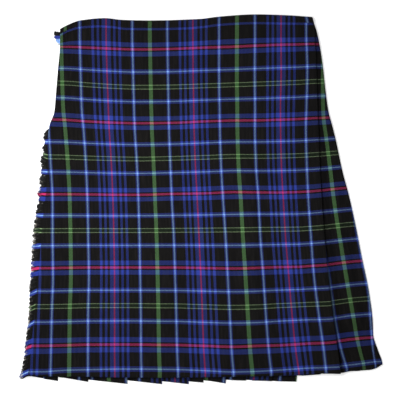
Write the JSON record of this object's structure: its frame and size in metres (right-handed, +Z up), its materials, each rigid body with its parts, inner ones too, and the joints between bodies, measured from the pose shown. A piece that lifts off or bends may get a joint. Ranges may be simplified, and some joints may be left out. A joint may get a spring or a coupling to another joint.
{
  "type": "scottish kilt",
  "caption": "Kilt laid flat, front apron up: pleated back, fringed over apron, deep side pleat, hidden under apron and narrow waistband, in tartan twill",
  "frame": {"origin": "the middle of the kilt's box, on the surface that it lies on", "axes": "X to the wearer's left, which is to the right as the kilt is seen; Y from the hem to the waist; Z up, out of the front apron"},
  "size_m": [0.6183, 0.6292, 0.0121],
  "materials": {
    "tartan": "worsted twill in black, blue, red, green and pale blue checks, matt with a faint sheen",
    "waistband": "the same twill, folded and pressed",
    "fringe": "loose weft yarns, matt"
  },
  "bodies": {
    "root": {"over_apron": "tartan", "side_pleat": "tartan", "pleated_back": "tartan", "under_apron": "tartan", "waistband": "waistband", "apron_fringe": "fringe", "fringe_tuft": "fringe"}
  },
  "joints": []
}
